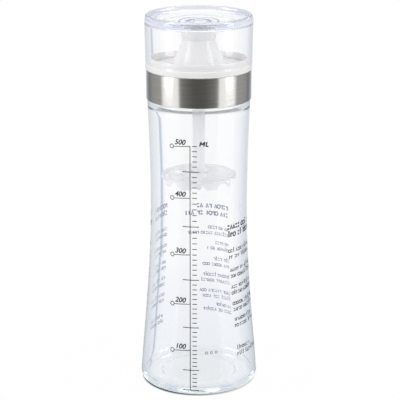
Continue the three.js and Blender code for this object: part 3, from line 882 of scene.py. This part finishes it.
class Artwork:
    """Flat closed slabs of ink, with the glass behind them at Y = 0."""

    def __init__(self):
        self.vertices = []
        self.faces = []

    def strip(self, path, width):
        """A line of even width along (x, z) points."""
        start = len(self.vertices)
        count = len(path)
        for i, (x, z) in enumerate(path):
            before, after = Vector(path[max(i - 1, 0)]), Vector(path[min(i + 1, count - 1)])
            run = (after - before).normalized()
            side = Vector((-run.y, run.x)) * width / 2
            for y in (-INK_LIFT - INK_T, -INK_LIFT):
                self.vertices.append((x - side.x, y, z - side.y))
                self.vertices.append((x + side.x, y, z + side.y))
        for i in range(count - 1):
            a, b = start + 4 * i, start + 4 * (i + 1)
            self.faces += [[a, b, b + 1, a + 1], [a + 2, a + 3, b + 3, b + 2],
                           [a, a + 2, b + 2, b], [a + 1, b + 1, b + 3, a + 3]]
        end = start + 4 * (count - 1)
        self.faces += [[start, start + 1, start + 3, start + 2], [end, end + 2, end + 3, end + 1]]

    def bar(self, x0, x1, z, width, step=1.5):
        pieces = max(1, math.ceil(abs(x1 - x0) / step))
        self.strip([(x0 + (x1 - x0) * i / pieces, z) for i in range(pieces + 1)], width)

    def upright(self, x, z0, z1, width, step=2.0):
        pieces = max(1, math.ceil(abs(z1 - z0) / step))
        self.strip([(x, z0 + (z1 - z0) * i / pieces) for i in range(pieces + 1)], width)

    def ring(self, x, z, radius, width, steps=20):
        """An open circle, as a closed band of ink."""
        start = len(self.vertices)
        for i in range(steps):
            angle = 2 * math.pi * i / steps
            for y in (-INK_LIFT - INK_T, -INK_LIFT):
                for r in (radius - width / 2, radius + width / 2):
                    self.vertices.append((x + r * math.cos(angle), y, z + r * math.sin(angle)))
        for i in range(steps):
            a, b = start + 4 * i, start + 4 * ((i + 1) % steps)
            self.faces += [[a, a + 1, b + 1, b], [a + 2, b + 2, b + 3, a + 3],
                           [a, b, b + 2, a + 2], [a + 1, a + 3, b + 3, b + 1]]

    def words(self, text, x, z, size, shear, bold):
        """Plain figures in Blender's own face, set from x with their foot at z."""
        curve = bpy.data.curves.new("figures", "FONT")
        curve.body, curve.size = text, size
        curve.shear, curve.offset = shear, bold
        curve.extrude = INK_T / 2
        curve.resolution_u = 3
        made = bpy.data.objects.new("figures", curve)
        bpy.context.scene.collection.objects.link(made)
        depsgraph = bpy.context.evaluated_depsgraph_get()
        mesh = bpy.data.meshes.new_from_object(made.evaluated_get(depsgraph))
        start = len(self.vertices)
        for vertex in mesh.vertices:
            self.vertices.append((x + vertex.co.x, -INK_LIFT - INK_T / 2 - vertex.co.z, z + vertex.co.y))
        self.faces += [[start + v for v in polygon.vertices] for polygon in mesh.polygons]
        bpy.data.objects.remove(made)
        bpy.data.curves.remove(curve)
        bpy.data.meshes.remove(mesh)

    def finished(self, name):
        return mesh_object(name, [tuple(c * MM for c in v) for v in self.vertices], self.faces)


# Heights of the 50 ml marks, from the empty one at the foot to 500 ml
MARK_HEIGHTS = [4.0, 17.7, 31.2, 46.6, 62.5, 78.7, 95.6, 114.4, 133.6, 151.0, 168.0]
SCALE_X = -5.6
FRONT, BACK = 270, 90


def printed(art, name, wrap, bottle, angle):
    made = art.finished(name)
    run_tree(made, wrap, Bottle=bottle, Angle=math.radians(angle), Material=INK)
    return placed(made, INK, "bottle", "print")


def make_scale(wrap, bottle):
    art = Artwork()
    tick_x0, tick_x1 = SCALE_X + 1.4, SCALE_X + 4.4
    half_x0, half_x1 = SCALE_X - 5.0, SCALE_X + 5.8
    ring_x, ring_r, ring_drop = SCALE_X - 12.4, 1.3, 0.8
    leader_w, leader_steps = LINE_W * 0.9, 8
    figure_x, figure_lift, figure_size = SCALE_X - 10.4, 0.75, 4.8
    slant, bold = 0.25, 0.13
    ticks_between = 5
    art.upright(SCALE_X, MARK_HEIGHTS[0], MARK_HEIGHTS[-1], LINE_W)
    for k, z in enumerate(MARK_HEIGHTS):
        if k % 2 == 0 and k:
            leader_end = (ring_x + ring_r, z - ring_drop)
            leader = between((SCALE_X, z), leader_end, leader_steps)
            art.strip([(SCALE_X, z)] + leader, leader_w)
            art.bar(tick_x0, tick_x1, z, LINE_W)
            art.ring(ring_x, z - ring_drop, ring_r, LINE_W)
            art.words(str(50 * k), figure_x, z + figure_lift, figure_size, slant, bold)
        else:
            art.bar(half_x0, half_x1, z, LINE_W)
        for i in range(1, ticks_between if k else 0):
            below = MARK_HEIGHTS[k - 1]
            art.bar(tick_x0, tick_x1, below + (z - below) * i / ticks_between, LINE_W)
    # The unit, "ML", in straight strokes
    unit_x, unit_foot = SCALE_X + 6.2, MARK_HEIGHTS[-1]
    unit_h, unit_w, stroke_w = 2.9, 2.5, 0.8
    letter_m = [(0, 0), (0, 1), (0.5, 0.35), (1, 1), (1, 0)]
    letter_l = [(1.55, 1), (1.55, 0), (2.2, 0)]
    for letter in (letter_m, letter_l):
        corners = [(unit_x + unit_w * u + slant * unit_h * v, unit_foot + unit_h * v)
                   for u, v in letter]
        for stroke in zip(corners, corners[1:]):
            art.strip(stroke, stroke_w)
    return printed(art, "printed_scale", wrap, bottle, FRONT)


def make_dots(wrap, bottle):
    """Three small faint rings low on the front."""
    first_x, apart, dot_z, dot_r, line_w = 5.0, 3.3, 29.5, 0.75, 0.32
    art = Artwork()
    for i in range(3):
        art.ring(first_x + apart * i, dot_z, dot_r, line_w, steps=12)
    return printed(art, "printed_dots", wrap, bottle, FRONT)


# From a line to the one under it, and the height and weight of its signs
TITLE_GAP, TITLE_SIGNS = 5.2, (3.0, 1.0)
PAIR_GAP, SMALL_SIGNS = 4.2, (2.2, 0.62)


def stroke_glyph(art, rng, x, z, height, width, weight):
    """One letter-like sign that is no letter: a few short strokes."""
    tall, loop_r, arm_rise, low, high = 1.45, 0.42, 0.3, 0.15, 0.85
    loop_w, arm_w = weight * 0.9, weight * 0.8
    stem_x, gap = x + 0.1, 0.02
    kind = rng.randrange(5)
    mid = z + height / 2
    if kind == 0:
        art.upright(x + width / 2, z, z + height * rng.choice((1.0, tall)), weight)
    elif kind == 1:
        art.ring(x + width / 2, mid, height * loop_r, loop_w, steps=10)
    elif kind == 2:
        art.upright(stem_x, z, z + height, weight)
        art.bar(stem_x + weight / 2 + gap, x + width, mid + height * arm_rise, arm_w)
    elif kind == 3:
        art.strip([(x, z), (x + width / 2, z + height), (x + width, z)], weight)
    else:
        for share in (low, high):
            art.bar(x, x + width, z + height * share, weight)


def stroke_line(art, rng, x, z, length, height, weight):
    """A line of made-up signs in word-long groups."""
    advance = height * 0.78
    sign_w, word_gap = advance * 0.68, advance * 0.8
    at = x
    while at < x + length:
        for _ in range(rng.randint(2, 7)):
            if at > x + length:
                break
            stroke_glyph(art, rng, at, z, height, sign_w, weight)
            at += advance
        at += word_gap


def make_panel(wrap, bottle, name, angle, lean, seed, titles, pairs):
    """A block of made-up writing: two title lines and pairs of small lines, each as (foot
    height, length, length of the line under it). Lines start further right by lean per mm."""
    art, rng = Artwork(), random.Random(seed)
    top_z, *lengths = titles
    lines = [(top_z, lengths[0], TITLE_SIGNS), (top_z - TITLE_GAP, lengths[1], TITLE_SIGNS)]
    for z, first, second in pairs:
        lines += [(z, first, SMALL_SIGNS), (z - PAIR_GAP, second, SMALL_SIGNS)]
    for z, length, signs in lines:
        stroke_line(art, rng, lean * (top_z - z), z, length, *signs)
    return printed(art, name, wrap, bottle, angle)


# Build

thread = thread_tree()
ribs = rib_tree()
wrap = wrap_tree()
bottle = make_bottle(thread)
make_gasket()
make_collar(thread)
make_band()
make_spout(ribs)
make_rod()
make_tip()
make_disc(ribs)
make_cap()
make_scale(wrap, bottle)
make_dots(wrap, bottle)
make_panel(wrap, bottle, "printed_block_right", FRONT + 35.7, 0.06, 11, (110.6, 24, 27), [
    (94.8, 26, 24), (81.8, 25, 26), (70.3, 22, 25), (58.8, 26, 24), (47.8, 21, 23), (28.0, 15, 24),
])
make_panel(wrap, bottle, "printed_block_back", BACK - 41.0, 0.0, 12, (109.0, 24, 33), [
    (94.0, 16, 31), (83.0, 10, 18), (71.0, 13, 21), (59.0, 23, 22), (47.0, 24, 24), (37.0, 12, 24),
])
make_panel(wrap, bottle, "printed_block_left", FRONT - 133.0, 0.0, 13, (112.0, 24, 27), [
    (96.0, 22, 26), (84.0, 25, 21), (72.0, 19, 24), (60.0, 24, 26), (48.0, 22, 25), (32.0, 20, 23),
])


# Floor, light and camera

# What a shiny piece sees round it, by the angle from the camera's side (0) to the back (180):
# a dark room, a softbox on each side, grey walls and the white backdrop
STUDIO = [
    (0, (0.09, 0.09, 0.084)), (14, (0.1, 0.1, 0.094)), (27, (0.15, 0.15, 0.142)),
    (36, (0.2, 0.2, 0.19)), (42, (0.3, 0.3, 0.29)), (46, (1, 1, 1)), (84, (1, 1, 0.99)),
    (91, (0.38, 0.38, 0.37)), (122, (0.32, 0.32, 0.32)), (137, (0.2, 0.2, 0.21)),
    (156, (0.42, 0.43, 0.47)), (180, (0.95, 0.96, 1)),
]
# What is seen through glass, by how far the ray is bent to the left (-1) or right (1). A thin
# dark edge on the left is the frame of the softbox.
BENT = [
    (-1.0, (1, 1, 1)), (-0.86, (0.93, 0.94, 0.97)), (-0.5, (0.87, 0.89, 0.94)),
    (-0.26, (0.88, 0.9, 0.95)), (-0.165, (0.94, 0.95, 0.98)), (-0.155, (0.47, 0.53, 0.67)),
    (-0.134, (0.5, 0.56, 0.7)), (-0.122, (0.97, 0.98, 1)), (-0.05, (1, 1, 1)),
    (0.08, (1, 1, 1)), (0.18, (0.92, 0.94, 0.98)), (0.34, (0.83, 0.85, 0.91)),
    (0.6, (0.83, 0.85, 0.91)), (0.88, (0.94, 0.95, 0.98)), (1.0, (1, 1, 1)),
]
# The same by how far down (-1) or up (1) it goes: only the wall at the height of the piece is
# fully lit
UP_AND_DOWN = [
    (-1.0, (0.7, 0.72, 0.8)), (-0.5, (0.74, 0.76, 0.84)), (-0.42, (0.8, 0.82, 0.89)),
    (-0.34, (1, 1, 1)), (0.3, (1, 1, 1)), (0.55, (0.8, 0.83, 0.91)), (1.0, (0.74, 0.77, 0.86)),
]
# The floor through glass by metres from the bottle's axis, with painted shade near the bottle and a
# painted shadow ring under the heel
FLOOR_BEHIND_PAINTED_SHADE = [
    (0.0, (0.83, 0.85, 0.88)), (0.031, (0.86, 0.88, 0.91)), (0.0365, (0.8, 0.84, 0.86)),
    (0.045, (0.88, 0.9, 0.95)), (0.15, (0.92, 0.935, 0.97)), (0.25, (0.98, 0.985, 1)),
]
# The thin painted shadow under the rounded heel, on the floor as the camera sees it, by metres from the
# axis
PAINTED_CONTACT_SHADOW = [
    (0.035, (0.02, 0.03, 0.03)), (0.0369, (0.03, 0.04, 0.04)), (0.0376, (0.3, 0.33, 0.33)),
    (0.0386, (0.96, 0.97, 0.97)), (0.039, (1, 1, 1)),
]


def ramp(tree, value, stops):
    """A colour ramp over the stops' own range of values."""
    low, high = stops[0][0], stops[-1][0]
    node = add_node(tree, "ShaderNodeValToRGB", ranged(tree, value, 0.0, 1.0, (low, high)))
    elements = node.color_ramp.elements
    while len(elements) < len(stops):
        elements.new(0.5)
    for element, (at, colour) in zip(elements, stops):
        element.position = (at - low) / (high - low)
        element.color = (*colour, 1)
    return node.outputs["Color"]


def bent_view(tree, coordinates, beside):
    """What a ray that left the glass sees, by how far to the side it went. Points nearer to
    the middle than beside count as straight behind."""
    side = axes(tree, coordinates)["X"]
    past = math_node(tree, "SUBTRACT", math_node(tree, "ABSOLUTE", side), beside)
    past = math_node(tree, "MAXIMUM", past, 0.0)
    past = math_node(tree, "MULTIPLY", past, math_node(tree, "SIGN", side))
    bent = math_node(tree, "DIVIDE", past, vector_node(tree, "LENGTH", coordinates))
    return ramp(tree, bent, BENT)


def surroundings(tree, coordinates, plain, through, direct):
    """Colour of the studio round the piece: plain light, seen through glass, or seen directly."""
    rays = tree.nodes.new("ShaderNodeLightPath").outputs
    x, y, _ = axes(tree, coordinates)
    front = math_node(tree, "MULTIPLY", y, -1.0)
    turn = math_node(tree, "ARCTAN2", math_node(tree, "ABSOLUTE", x), front)
    studio = ramp(tree, math_node(tree, "MULTIPLY", turn, 180 / math.pi), STUDIO)
    left_glass = math_node(tree, "GREATER_THAN", rays["Transmission Depth"], 0.5)
    thrown_back = math_node(tree, "MULTIPLY", left_glass, rays["Is Glossy Ray"])
    in_glass = math_node(tree, "MAXIMUM", thrown_back, rays["Is Transmission Ray"])
    colour = mixed_colour(tree, rays["Is Glossy Ray"], plain, studio)
    colour = mixed_colour(tree, in_glass, colour, through)
    return mixed_colour(tree, rays["Is Camera Ray"], colour, direct)


def make_floor():
    half, z = 0.25, -0.2 * MM
    corners = [(-half, -half, z), (half, -half, z), (half, half, z), (-half, half, z)]
    floor = mesh_object("floor", corners, [[0, 1, 2, 3]])
    material, tree, shader, output = new_material("pale_floor")
    feed(tree, shader, Base_Color=(0.92, 0.92, 0.92, 1), Roughness=0.9)
    spot = object_coordinates(tree)
    away = vector_node(tree, "LENGTH", spot)
    behind = bent_view(tree, spot, beside=0.03)
    # Painted shade: the floor seen through glass is darker near the bottle
    through = vector_node(tree, "MULTIPLY", behind, ramp(tree, away, FLOOR_BEHIND_PAINTED_SHADE))
    # The shadow under the heel is a little fainter on the right, as in the photograph
    lit_side = ranged(tree, axes(tree, spot)["X"], 0.0, 0.6, (-0.02, 0.03))
    # Painted shadow: a dark ring on the floor just under the heel
    painted_contact_shadow = mixed_colour(tree, lit_side, ramp(tree, away, PAINTED_CONTACT_SHADOW), (1, 1, 1))
    colour = surroundings(tree, spot, (0.9, 0.9, 0.9), through, painted_contact_shadow)
    seen = add_node(tree, "ShaderNodeEmission", Color=colour)
    rays = tree.nodes.new("ShaderNodeLightPath").outputs
    share = math_node(tree, "MAXIMUM", rays["Is Camera Ray"], rays["Is Glossy Ray"])
    share = math_node(tree, "MAXIMUM", share, rays["Is Transmission Ray"])
    # Near the bottle a little of the real shadow stays, and none of it further out
    shadowless = ranged(tree, away, 0.96, 1.0, (0.1, 0.2))
    mixed_shader(tree, math_node(tree, "MULTIPLY", share, shadowless), shader, seen, output)
    floor.data.materials.append(material)


def make_world():
    """White to the camera, and the studio to everything that shines or is clear."""
    world = bpy.data.worlds.new("studio")
    bpy.context.scene.world = world
    world.use_nodes = True
    tree = world.node_tree
    direction = tree.nodes.new("ShaderNodeTexCoord").outputs["Generated"]
    _, y, z = axes(tree, direction)
    behind = bent_view(tree, direction, beside=0.0)
    behind = vector_node(tree, "MULTIPLY", behind, ramp(tree, z, UP_AND_DOWN))
    turned_back = math_node(tree, "LESS_THAN", y, 0.0)
    through = mixed_colour(tree, turned_back, behind, (0.9, 0.92, 0.98))
    colour = surroundings(tree, direction, (0.68, 0.68, 0.68), through, (1, 1, 1))
    feed(tree, tree.nodes["Background"], Color=colour)


def make_softbox(name, azimuth, distance, height, width, tall, watts):
    """azimuth 0 is behind the camera, and it grows to the right."""
    aim = Vector((0, 0, 0.13))
    angle = math.radians(azimuth)
    place = Vector((distance * math.sin(angle), -distance * math.cos(angle), height))
    lamp = bpy.data.lights.new(name, "AREA")
    lamp.shape = "RECTANGLE"
    lamp.size, lamp.size_y = width, tall
    lamp.energy = watts
    made = bpy.data.objects.new(name, lamp)
    made.location = place
    made.rotation_euler = (aim - place).to_track_quat("-Z", "Y").to_euler()
    bpy.context.scene.collection.objects.link(made)


def make_camera():
    """The photograph's view: from the front, a little above, with a long lens."""
    frame_px = 400
    distance, height = 0.96, 0.41
    middle_z = 0.1231
    middle_x_px = 198.8
    lens_px = 1518
    data = bpy.data.cameras.new("camera")
    data.sensor_width = 36.0
    data.lens = lens_px / frame_px * data.sensor_width
    data.shift_x = (frame_px / 2 - middle_x_px) / frame_px
    camera = bpy.data.objects.new("camera", data)
    camera.location = (0, -distance, height)
    camera.rotation_euler = (math.pi / 2 - math.atan2(height - middle_z, distance), 0, 0)
    bpy.context.scene.collection.objects.link(camera)
    bpy.context.scene.camera = camera


make_floor()
make_world()
make_softbox("softbox_left", azimuth=-67, distance=1.1, height=0.55, width=0.45, tall=1.0, watts=4.4)
make_softbox("softbox_right", azimuth=69, distance=1.1, height=0.55, width=0.4, tall=1.0, watts=3.8)
make_softbox("softbox_above", azimuth=180, distance=0.3, height=1.6, width=1.4, tall=1.4, watts=5.0)
make_camera()
bpy.context.scene.view_settings.view_transform = "Standard"
